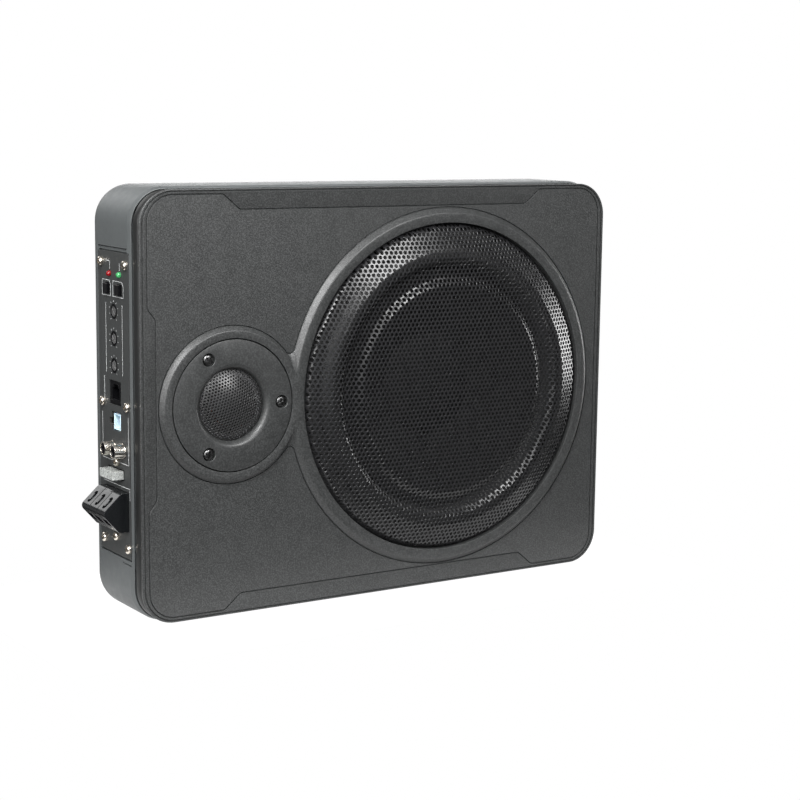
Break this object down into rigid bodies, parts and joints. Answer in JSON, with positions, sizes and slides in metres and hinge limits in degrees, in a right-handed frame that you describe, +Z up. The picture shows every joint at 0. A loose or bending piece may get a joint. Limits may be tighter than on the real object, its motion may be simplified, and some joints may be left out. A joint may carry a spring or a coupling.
{
  "type": "powered car subwoofer",
  "caption": "Slim powered car subwoofer: grilled woofer and dome tweeter in a shallow closed box, with a built-in amplifier and a control panel on its left end.",
  "frame": {"origin": "middle of the long lower edge face that the enclosure stands on, halfway between the front cover's face and the rear face", "axes": "+Z up, the grille faces -Y, +X to the right seen from the front"},
  "size_m": [0.356, 0.079, 0.258],
  "materials": {
    "case_paint": "satin charcoal paint on a die-cast case",
    "cover_plastic": "fine-grained charcoal moulding",
    "foam": "closed-cell black foam",
    "black_screw": "black oxide",
    "panel_paint": "satin grey with white printed lines",
    "bright_screw": "bright nickel plate",
    "grille_steel": "semi-gloss black powder coat, perforated",
    "basket_steel": "black stove enamel",
    "surround_rubber": "matte black rubber",
    "spider_cloth": "resin-treated cloth",
    "cone_paper": "black fibre",
    "former_paper": "kraft paper",
    "copper": "enamelled copper wire",
    "motor_steel": "zinc plated",
    "ferrite": "dark sintered ferrite",
    "neodymium": "nickel plated",
    "terminal_strip": "brown laminate with tinned tags",
    "lead_insulation": "red insulation",
    "bezel_plastic": "fine-grained charcoal moulding",
    "silk": "coated silk",
    "circuit_board": "green solder mask",
    "heat_sink_aluminium": "mill finish",
    "black_plastic": "moulded black",
    "capacitor_sleeve": "shrink sleeve",
    "led_red": "clear red lens",
    "led_green": "clear green lens",
    "button_plastic": "moulded black",
    "rotor_plastic": "grey nylon",
    "pale_plastic": "pale natural nylon",
    "nickel": "bright nickel plate",
    "fuse_plastic": "clear moulded body with tin-plated blades",
    "terminal_plastic": "moulded black"
  },
  "bodies": {
    "enclosure": {"rear_case": "case_paint", "front_cover": "cover_plastic", "cover_gasket": "foam", "cover_screws": "black_screw", "control_panel": "panel_paint", "panel_screws": "bright_screw", "woofer_grille": "grille_steel", "woofer_gasket": "foam", "woofer_screws": "black_screw", "woofer_basket": "basket_steel", "woofer_surround": "surround_rubber", "woofer_spider": "spider_cloth", "woofer_top_plate": "motor_steel", "woofer_magnet": "ferrite", "woofer_yoke": "motor_steel", "woofer_terminal": "terminal_strip", "woofer_leads": "lead_insulation", "tweeter_bezel": "bezel_plastic", "tweeter_screws": "black_screw", "tweeter_grille": "grille_steel", "tweeter_plate": "motor_steel", "tweeter_yoke": "motor_steel", "tweeter_magnet": "neodymium", "tweeter_pole": "motor_steel", "tweeter_surround": "silk", "tweeter_leads": "lead_insulation", "panel_board": "circuit_board", "amplifier_board": "circuit_board", "board_screws": "bright_screw", "board_headers": "pale_plastic", "heat_sink": "heat_sink_aluminium", "power_transistors": "black_plastic", "power_toroid": "copper", "supply_capacitors": "capacitor_sleeve", "crossover_capacitor": "capacitor_sleeve", "protect_led": "led_red", "power_led": "led_green", "switch_bodies": "black_plastic", "pot_bodies": "black_plastic", "remote_socket": "black_plastic", "high_level_socket": "pale_plastic", "rca_shells": "nickel", "rca_block": "black_plastic", "fuse_holder": "black_plastic", "power_terminal_block": "terminal_plastic"},
    "woofer_moving": {"woofer_cone": "cone_paper", "dust_cap": "cone_paper", "voice_coil_former": "former_paper", "voice_coil_winding": "copper"},
    "tweeter_moving": {"tweeter_dome": "silk", "tweeter_coil": "copper"},
    "low_pass_control": {"low_pass_rotor": "rotor_plastic"},
    "bass_boost_control": {"bass_boost_rotor": "rotor_plastic"},
    "level_control": {"level_rotor": "rotor_plastic"},
    "auto_on_switch": {"auto_on_button": "button_plastic"},
    "phase_switch": {"phase_button": "button_plastic"},
    "fuse": {"blade_fuse": "fuse_plastic"},
    "positive_clamp": {"terminal_screw_1": "bright_screw"},
    "remote_clamp": {"terminal_screw_2": "bright_screw"},
    "ground_clamp": {"terminal_screw_3": "bright_screw"}
  },
  "joints": [
    {"name": "cone_travel", "type": "slide", "parent": "enclosure", "child": "woofer_moving", "axis": [0, 1, 0], "range_m": [-0.004, 0.004], "stiffness_N_per_m": 2500, "deforming": ["woofer_surround", "woofer_spider"]},
    {"name": "dome_travel", "type": "slide", "parent": "enclosure", "child": "tweeter_moving", "axis": [0, 1, 0], "range_m": [-0.0003, 0.0003], "stiffness_N_per_m": 1500, "deforming": ["tweeter_surround"]},
    {"name": "low_pass_turn", "type": "hinge", "parent": "enclosure", "child": "low_pass_control", "pos_m": [-0.1655, -0.0015, 0.1845], "axis": [1, 0, 0], "range_deg": [-140, 140]},
    {"name": "bass_boost_turn", "type": "hinge", "parent": "enclosure", "child": "bass_boost_control", "pos_m": [-0.1655, -0.0015, 0.1684], "axis": [1, 0, 0], "range_deg": [-140, 140]},
    {"name": "level_turn", "type": "hinge", "parent": "enclosure", "child": "level_control", "pos_m": [-0.1655, -0.0015, 0.1523], "axis": [1, 0, 0], "range_deg": [-140, 140]},
    {"name": "auto_on_press", "type": "slide", "parent": "enclosure", "child": "auto_on_switch", "axis": [1, 0, 0], "range_m": [0, 0.0015], "stiffness_N_per_m": 800},
    {"name": "phase_press", "type": "slide", "parent": "enclosure", "child": "phase_switch", "axis": [1, 0, 0], "range_m": [0, 0.0015], "stiffness_N_per_m": 800},
    {"name": "fuse_pull", "type": "slide", "parent": "enclosure", "child": "fuse", "axis": [-1, 0, 0], "range_m": [0, 0.022]},
    {"name": "positive_clamp_turn", "type": "hinge", "parent": "enclosure", "child": "positive_clamp", "pos_m": [-0.17721, -0.01459, 0.07254], "axis": [-0.7071, 0, 0.7071], "continuous": true},
    {"name": "remote_clamp_turn", "type": "hinge", "parent": "enclosure", "child": "remote_clamp", "pos_m": [-0.17721, -0.00376, 0.07254], "axis": [-0.7071, 0, 0.7071], "continuous": true},
    {"name": "ground_clamp_turn", "type": "hinge", "parent": "enclosure", "child": "ground_clamp", "pos_m": [-0.17721, 0.00707, 0.07254], "axis": [-0.7071, 0, 0.7071], "continuous": true}
  ]
}
